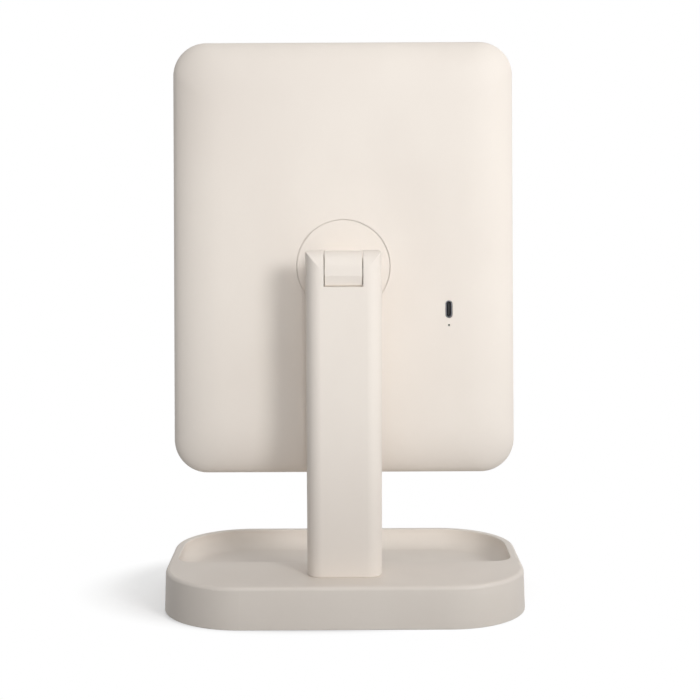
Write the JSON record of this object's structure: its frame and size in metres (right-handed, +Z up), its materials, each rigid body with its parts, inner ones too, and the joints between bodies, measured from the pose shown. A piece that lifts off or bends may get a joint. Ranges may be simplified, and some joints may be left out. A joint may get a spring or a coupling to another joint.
{
  "type": "lighted mirror",
  "caption": "Free-standing rectangular lighted vanity mirror on a column with a tray base, a tilt fork, a swivelling head, a charging socket and a push button.",
  "frame": {"origin": "middle of the base's footprint, on the table under the feet", "axes": "+Z up, the mirror faces -Y and its back with the charging socket faces +Y, +X to the right seen from the mirror's front"},
  "size_m": [0.189, 0.1266, 0.3003],
  "materials": {
    "cream_plastic": "fine moulded texture, satin",
    "mirror_glass": "silvered glass",
    "opal_acrylic": "frosted, light diffusing",
    "white_plastic": "white reflector plastic, matte",
    "steel": "plain bright steel",
    "dark_steel": "oiled dark steel",
    "screw_steel": "zinc plated",
    "foot_rubber": "grey rubber, matte",
    "washer_plastic": "natural nylon",
    "circuit_board": "green solder mask",
    "strip_board": "white solder mask",
    "led_lens": "yellow phosphor lens",
    "port_metal": "nickel plated",
    "port_black": "black",
    "clear_acrylic": "clear light guide",
    "battery_film": "grey shrink film",
    "wire_jacket": "red wire jacket",
    "switch_black": "black"
  },
  "bodies": {
    "base": {"base_tray": "cream_plastic", "base_bottom_plate": "cream_plastic", "base_screws": "screw_steel", "base_weight": "dark_steel", "base_feet": "foot_rubber", "stand_column": "cream_plastic", "column_screws": "screw_steel", "tilt_pin": "steel", "pin_caps": "cream_plastic"},
    "hinge": {"hinge_knuckle": "cream_plastic", "tilt_washers": "washer_plastic", "swivel_disc": "cream_plastic", "swivel_washer": "washer_plastic", "swivel_retainer": "steel", "hinge_screws": "screw_steel"},
    "head": {"rear_shell": "cream_plastic", "front_frame": "cream_plastic", "light_chassis": "white_plastic", "light_diffuser": "opal_acrylic", "mirror_glass": "mirror_glass", "led_strips": "strip_board", "led_chips": "led_lens", "chassis_screws": "screw_steel", "control_board": "circuit_board", "inner_screws": "screw_steel", "usb_port": "port_metal", "usb_tongue": "port_black", "charge_light_pipe": "clear_acrylic", "battery_pack": "battery_film", "battery_strap": "steel", "battery_lead": "wire_jacket", "light_lead": "wire_jacket", "switch_lead": "wire_jacket", "switch_board": "circuit_board", "switch_body": "switch_black"},
    "button": {"power_button": "cream_plastic", "switch_plunger": "switch_black"}
  },
  "joints": [
    {"name": "tilt", "type": "hinge", "parent": "base", "child": "hinge", "pos_m": [0, 0.03705, 0.1784], "axis": [-1, 0, 0], "range_deg": [-5, 60]},
    {"name": "swivel", "type": "hinge", "parent": "hinge", "child": "head", "pos_m": [0, 0.0099, 0.1795], "axis": [0, 1, 0], "continuous": true},
    {"name": "power_press", "type": "slide", "parent": "head", "child": "button", "axis": [0, 1, 0], "range_m": [0, 0.0008], "stiffness_N_per_m": 1200, "springref_m": -0.0008}
  ]
}
